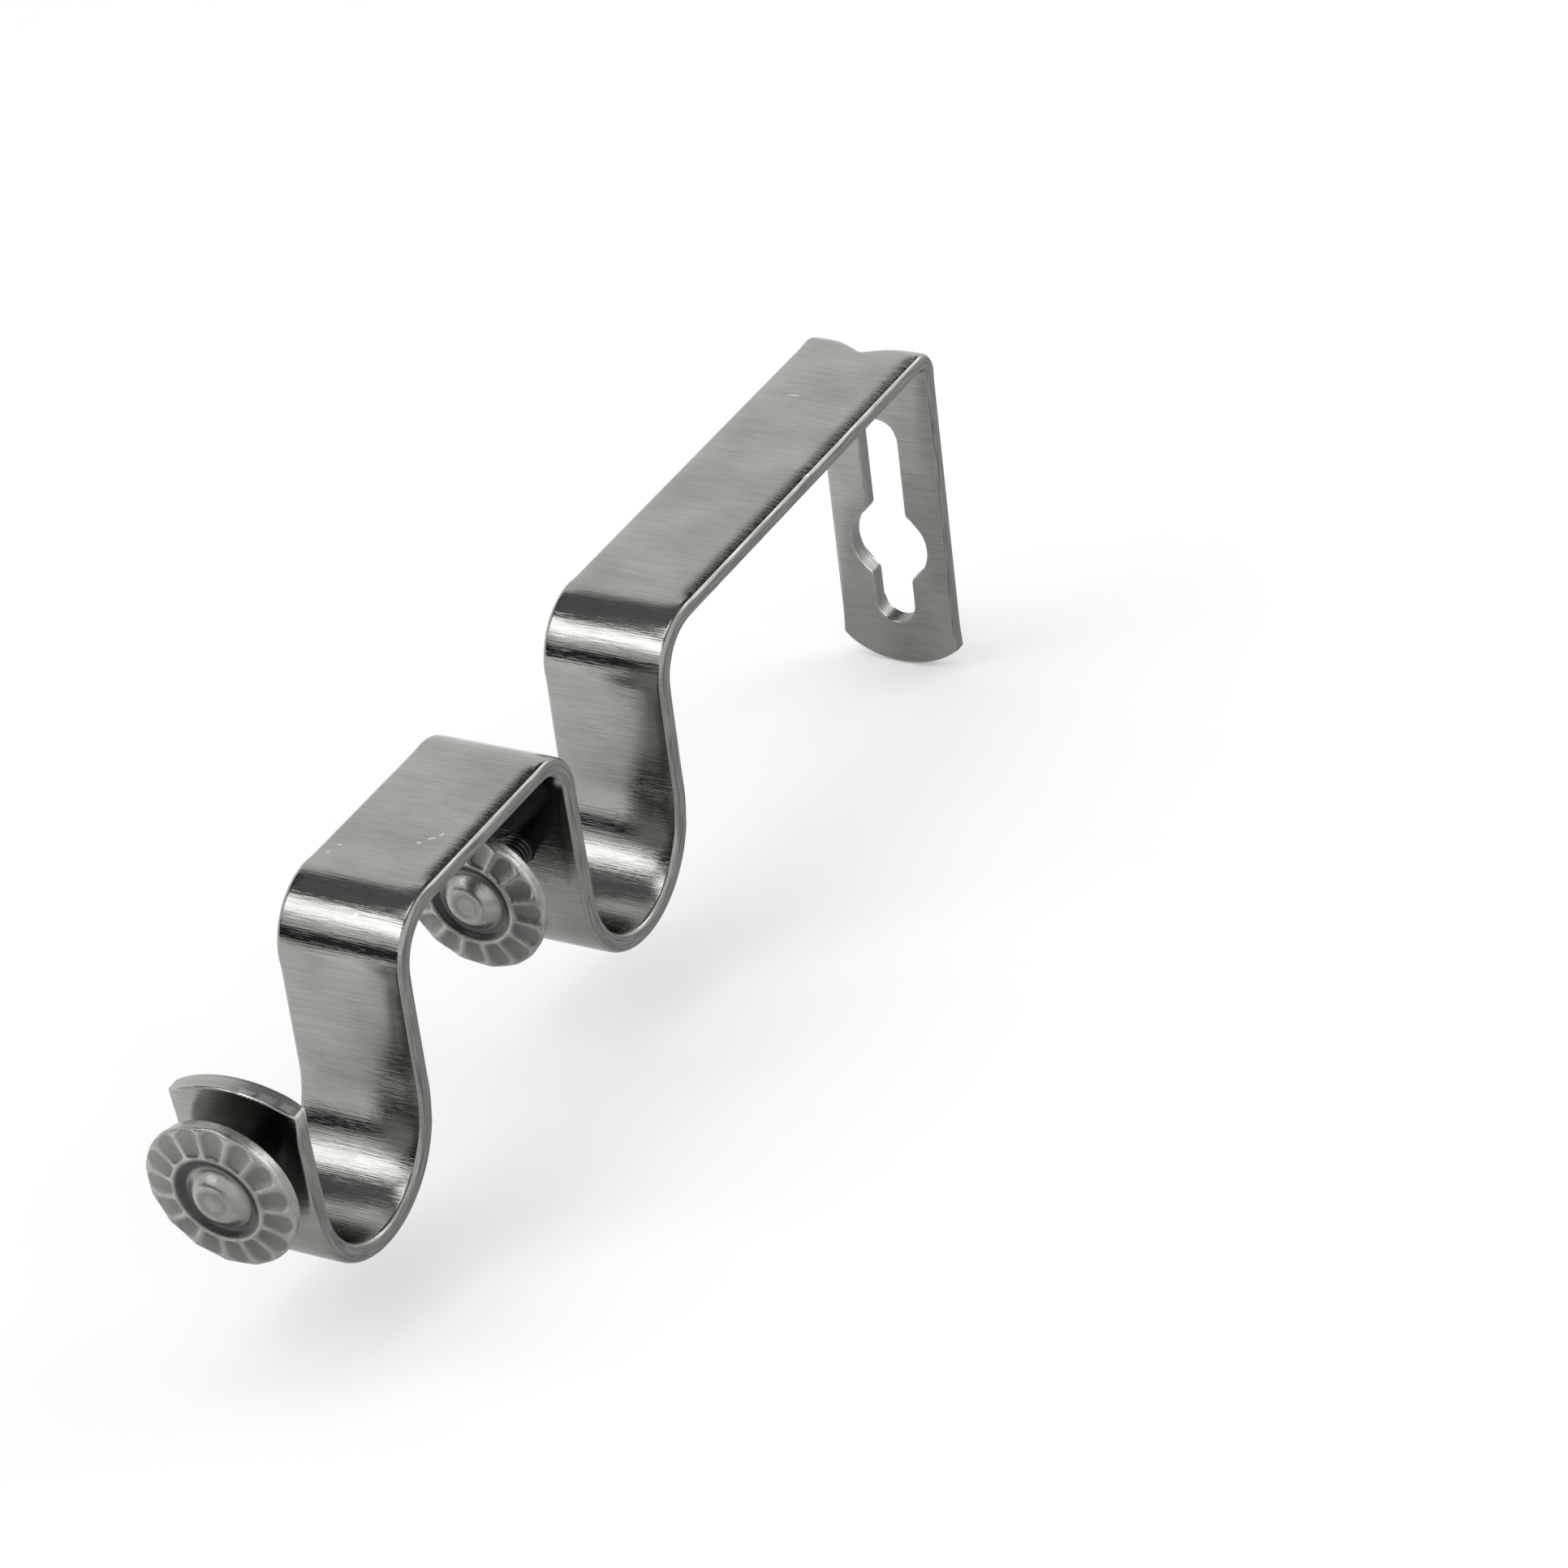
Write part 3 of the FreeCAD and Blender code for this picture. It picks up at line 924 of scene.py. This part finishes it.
def brushed_bar_material(groups):
    """Satin nickel flat bar, brushed across, with duller cut sides, rubbed edges and a few nicks."""
    material, tree, shader = new_material("brushed_bar_steel", 0.18)
    flat = attribute(tree, "flat_place", "Vector")
    from_edge = attribute(tree, "from_edge", "Fac")
    parts = put(tree, "ShaderNodeSeparateXYZ")
    feed(tree, parts, 0, flat)
    lengthwise = put(tree, "ShaderNodeCombineXYZ")
    feed(tree, lengthwise, 0, parts.outputs[2])
    feed(tree, lengthwise, 1, parts.outputs[0])
    cut_side = spread(tree, maths(tree, "ABSOLUTE", parts.outputs[2]), *cut_side_heights)
    brush = groups["brush_lines"]
    lines = use_group(tree, brush, Flat_Place=flat, Lines=6.0, Bands=1.5)
    rolling = use_group(tree, brush, Flat_Place=lengthwise.outputs[0], Lines=4.0, Bands=1.5)
    grain = use_group(tree, groups["fine_grain"], Place=flat, Grain_Size=6.0)
    edge = groups["rubbed_edge"]
    rubbed = use_group(tree, edge, Distance=from_edge, Width=0.35, Place=flat, Breaks=0.5)
    tone = maths(tree, "ADD", lines["Streaks"], maths(tree, "ADD", grain["Grain"], lines["Patches"]))
    colour = blend_colours(tree, spread(tree, tone, 1.1, 1.9), bar_dark, bar_light)
    cut_end = spread(tree, parts.outputs[0], *lip_end_range)
    side_light = blend_colours(tree, cut_end, cut_side_light, lip_end_light)
    side_dark = blend_colours(tree, cut_end, cut_side_dark, lip_end_dark)
    side = blend_colours(tree, spread(tree, rolling["Streaks"], *noise_range), side_dark, side_light)
    colour = blend_colours(tree, cut_side, colour, side)
    worn = maths(tree, "MULTIPLY", rubbed["Mask"], 0.3)
    for centre, turn, length in bar_nicks:
        angle = math.radians(turn)
        nick = use_group(tree, groups["nick"], Flat_Place=flat, Centre=centre, Turn=angle, Length=length)
        worn = maths(tree, "MAXIMUM", worn, nick["Mask"])
    feed(tree, shader, "Base Color", blend_colours(tree, worn, colour, bar_worn))
    smooth = spread(tree, lines["Streaks"], *noise_range, *bar_roughness)
    dull_side = maths(tree, "MULTIPLY", cut_side, cut_side_roughness)
    dull = maths(tree, "MAXIMUM", dull_side, maths(tree, "MULTIPLY", worn, worn_roughness))
    feed(tree, shader, "Roughness", maths(tree, "MAXIMUM", smooth, dull))
    bands = maths(tree, "MULTIPLY", lines["Soft Bands"], soft_band_relief)
    faces = maths(tree, "SUBTRACT", 1.0, cut_side)
    relief = maths(tree, "MULTIPLY", maths(tree, "ADD", lines["Streaks"], bands), faces)
    side_relief = maths(tree, "MULTIPLY", cut_side, rolling_relief)
    relief = maths(tree, "ADD", relief, maths(tree, "MULTIPLY", rolling["Streaks"], side_relief))
    relief = maths(tree, "ADD", relief, maths(tree, "MULTIPLY", grain["Grain"], grain_relief))
    raise_bumps(tree, shader, relief, *bar_bumps)
    return material


def antique_casting_material(groups):
    """Cast head with a darkened finish, rubbed lighter on its ridges."""
    material, tree, shader = new_material("antique_pewter", 0.42)
    place = place_in_mm(tree)
    hollow = attribute(tree, "hollow", "Fac")
    grain = use_group(tree, groups["fine_grain"], Place=place, Grain_Size=2.4)
    edge = groups["rubbed_edge"]
    rubbed = use_group(tree, edge, Distance=hollow, Width=0.3, Place=place, Breaks=0.8)
    colour = blend_colours(tree, spread(tree, hollow, 0.05, 0.95), casting_light, casting_dark)
    share = maths(tree, "MULTIPLY", rubbed["Mask"], 0.7)
    colour = blend_colours(tree, share, colour, casting_rubbed)
    spots = maths(tree, "MULTIPLY", spread(tree, grain["Mottling"], 0.35, 0.7), 0.35)
    feed(tree, shader, "Base Color", blend_colours(tree, spots, colour, casting_spots))
    feed(tree, shader, "Roughness", spread(tree, grain["Grain"], *noise_range, *casting_roughness))
    raise_bumps(tree, shader, grain["Grain"], *casting_bumps)
    return material


def dark_thread_and_shade_material(groups):
    """Machine thread with a dark finish, painted near black as shade of the gap behind the head, darkest
    in its roots.
    """
    material, tree, shader = new_material("dark_thread_and_painted_shade", 0.35)
    place = place_in_mm(tree)
    root = attribute(tree, "hollow", "Fac")
    grain = use_group(tree, groups["fine_grain"], Place=place, Grain_Size=3.0)
    edge = groups["rubbed_edge"]
    rubbed = use_group(tree, edge, Distance=root, Width=0.3, Place=place, Breaks=1.0)
    colour = blend_colours(tree, spread(tree, root, 0.2, 0.9), thread_light_and_shade, thread_dark_and_shade)
    share = maths(tree, "MULTIPLY", rubbed["Mask"], 0.5)
    feed(tree, shader, "Base Color", blend_colours(tree, share, colour, thread_rubbed))
    feed(tree, shader, "Roughness", spread(tree, grain["Mottling"], *noise_range, *thread_roughness))
    raise_bumps(tree, shader, grain["Grain"], *thread_bumps)
    return material


def seen_directly(tree):
    """1 for what the camera, a reflection or a clear body shows, 0 for soft light."""
    path = put(tree, "ShaderNodeLightPath")
    seen = maths(tree, "MAXIMUM", path.outputs["Is Camera Ray"], path.outputs["Is Glossy Ray"])
    return maths(tree, "MAXIMUM", seen, path.outputs["Is Transmission Ray"])


def studio_paper_material(groups):
    """White paper floor with a faint fibre, clear from below, shaded in what the metal mirrors."""
    material, tree, shader = new_material("white_paper", 0.9, 0.0)
    place = put(tree, "ShaderNodeTexCoord").outputs["Object"]
    grain = use_group(tree, groups["fine_grain"], Place=place, Grain_Size=40.0)
    across = put(tree, "ShaderNodeSeparateXYZ")
    feed(tree, across, 0, place)
    under = spread(tree, across.outputs[0], *mirrored_shadow_edge, 0.0, mirrored_shadow)
    shade = maths(tree, "MULTIPLY", put(tree, "ShaderNodeLightPath").outputs["Is Glossy Ray"], under)
    paper = blend_colours(tree, grain["Grain"], paper_dark, paper_light)
    feed(tree, shader, "Base Color", blend_colours(tree, shade, paper, no_colour))
    shader.inputs["Specular IOR Level"].default_value = 0.0
    shader.inputs["Emission Color"].default_value = pure_white
    lift = maths(tree, "MULTIPLY", maths(tree, "SUBTRACT", 1.0, shade), paper_lift)
    feed(tree, shader, "Emission Strength", maths(tree, "MULTIPLY", seen_directly(tree), lift))
    below = put(tree, "ShaderNodeNewGeometry").outputs["Backfacing"]
    feed(tree, shader, "Alpha", maths(tree, "SUBTRACT", 1.0, below))
    return material


# Studio


def make_camera():
    """Camera at the viewing angle: from the right, above and in front."""
    lens = bpy.data.cameras.new("camera")
    lens.lens = camera_lens
    lens.sensor_width = camera_sensor
    lens.clip_start = 0.01
    lens.clip_end = 20.0
    camera = bpy.data.objects.new("camera", lens)
    camera.location = camera_place
    camera.rotation_euler = [math.radians(angle) for angle in camera_angles]
    bpy.context.scene.collection.objects.link(camera)
    bpy.context.scene.camera = camera


def softbox(name, place, aim, size, radiance):
    """Soft square lamp; radiance is how bright it looks, 1 being white."""
    light = bpy.data.lights.new(name, "AREA")
    light.shape = "RECTANGLE"
    light.size, light.size_y = size
    light.energy = radiance * math.pi * size[0] * size[1]
    lamp = bpy.data.objects.new(name, light)
    lamp.location = place
    lamp.rotation_euler = (Vector(aim) - Vector(place)).to_track_quat("-Z", "Y").to_euler()
    lamp.visible_camera = False
    bpy.context.scene.collection.objects.link(lamp)


def card_material(name, brightness):
    material, tree, shader = new_material(name, 0.9, 0.0)
    fibre = noise(tree, put(tree, "ShaderNodeTexCoord").outputs["Object"], 30.0)
    dark, light = [(brightness * share,) * 3 + (1,) for share in (0.9, 1.1)]
    feed(tree, shader, "Base Color", blend_colours(tree, fibre, dark, light))
    return material


def flat_sheet(name, size, material):
    """Rectangle about its middle, facing up."""
    width, height = size[0] / 2, size[1] / 2
    mesh = bpy.data.meshes.new(name)
    corners = [(-width, -height, 0), (width, -height, 0), (width, height, 0), (-width, height, 0)]
    mesh.from_pydata(corners, [], [(0, 1, 2, 3)])
    mesh.materials.append(material)
    sheet = bpy.data.objects.new(name, mesh)
    bpy.context.scene.collection.objects.link(sheet)
    return sheet


def card(name, place, aim, size, material):
    """Flat card beside the set, or in a gap of the bracket as painted shade, that shows only as a
    reflection in the metal.
    """
    board = flat_sheet(name, size, material)
    board.location = place
    board.rotation_euler = (Vector(aim) - Vector(place)).to_track_quat("Z", "Y").to_euler()
    board.visible_camera = False
    board.visible_diffuse = False
    board.visible_shadow = False


def make_studio(groups):
    scene = bpy.context.scene
    world = bpy.data.worlds.new("studio_air")
    scene.world = world
    world.use_nodes = True
    tree = world.node_tree
    background = tree.nodes["Background"]
    background.inputs["Color"].default_value = pure_white
    feed(tree, background, "Strength", spread(tree, seen_directly(tree), 0.0, 1.0, 0.6, 1.0))
    floor = flat_sheet("paper_floor", floor_size, studio_paper_material(groups))
    floor.location = (0, -0.1, -plate_drop * MM - floor_gap)
    middle = Vector((0, -0.11, 0.02))
    softbox("front_softbox", middle + Vector((-0.44, -0.56, 0.71)), middle, (0.6, 0.34), 2.1)
    softbox("top_softbox", middle + Vector((-0.18, -0.17, 0.95)), middle, (0.3, 0.5), 2.1)
    softbox("back_softbox", middle + Vector((0.5, 0.72, 0.42)), middle, (0.5, 0.35), 2.0)
    grey = card_material("grey_card", 0.3)
    black = card_material("black_card", 0.05)
    card("ceiling_card", (-0.26, 0.85, 2.5), (-0.26, 0.85, 0.0), (2.72, 5.5), grey)
    card("ceiling_left_card", (-2.6, 0.0, 2.45), (-2.6, 0.0, 0.0), (2.0, 2.4), black)
    card("ceiling_edge_card", (-0.17, 2.85, 2.4), (-0.17, 2.85, 0.0), (2.55, 1.5), black)
    # Black card in the gap behind the rear head, seen only as a reflection in the rear wall: painted
    # shade of that gap
    card("rear_wall_painted_shade_card", (-0.0085, -0.1274, 0.0116), (-0.0085, 0.0, 0.0116), (0.023, 0.0168), black)
    card("camera_side_card", (-0.75, -1.6, 0.3), (0, -0.1, 0.3), (2.4, 0.62), black)
    scene.view_settings.view_transform = "Standard"


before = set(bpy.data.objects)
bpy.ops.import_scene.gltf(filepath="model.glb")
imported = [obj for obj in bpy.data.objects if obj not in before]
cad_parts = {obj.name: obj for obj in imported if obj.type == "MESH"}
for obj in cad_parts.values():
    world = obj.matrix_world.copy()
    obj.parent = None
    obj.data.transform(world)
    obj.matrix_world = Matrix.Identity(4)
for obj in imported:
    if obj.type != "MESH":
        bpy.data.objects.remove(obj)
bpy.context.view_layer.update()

make_camera()
groups = {
    "brush_lines": brush_lines_group(),
    "rubbed_edge": rubbed_edge_group(),
    "fine_grain": fine_grain_group(),
    "nick": nick_group(),
}
brushed_bar = brushed_bar_material(groups)
antique_casting = antique_casting_material(groups)
dark_thread_and_shade = dark_thread_and_shade_material(groups)

bent_bar, rear_along, front_along = bend_bar()
bar_piece = make_bar(bent_bar, rear_along, front_along, brushed_bar)
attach(bar_piece, "bracket")
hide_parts("bracket_strip")

for name, along, gap, flute_angle in (
    ("rear", rear_along, rear_screw_gap, rear_flute_angle),
    ("front", front_along, front_screw_gap, front_flute_angle),
):
    stud = make_stud(f"{name}_threaded_stud", gap, screw_place(bent_bar, along, 0), dark_thread_and_shade)
    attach(stud, f"{name}_stud")
    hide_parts(f"{name}_screw_stud")
    head_place = screw_place(bent_bar, along, -gap)
    head = make_head(f"{name}_rosette_head", flute_angle, head_place, antique_casting)
    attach(head, f"{name}_head")
    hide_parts(f"{name}_screw_head")

for node, material in (
    ("bracket_strip", brushed_bar),
    ("rear_screw_stud", dark_thread_and_shade),
    ("front_screw_stud", dark_thread_and_shade),
    ("rear_screw_head", antique_casting),
    ("front_screw_head", antique_casting),
):
    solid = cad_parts[node]
    for index in range(len(solid.material_slots)):
        solid.material_slots[index].material = material

make_studio(groups)
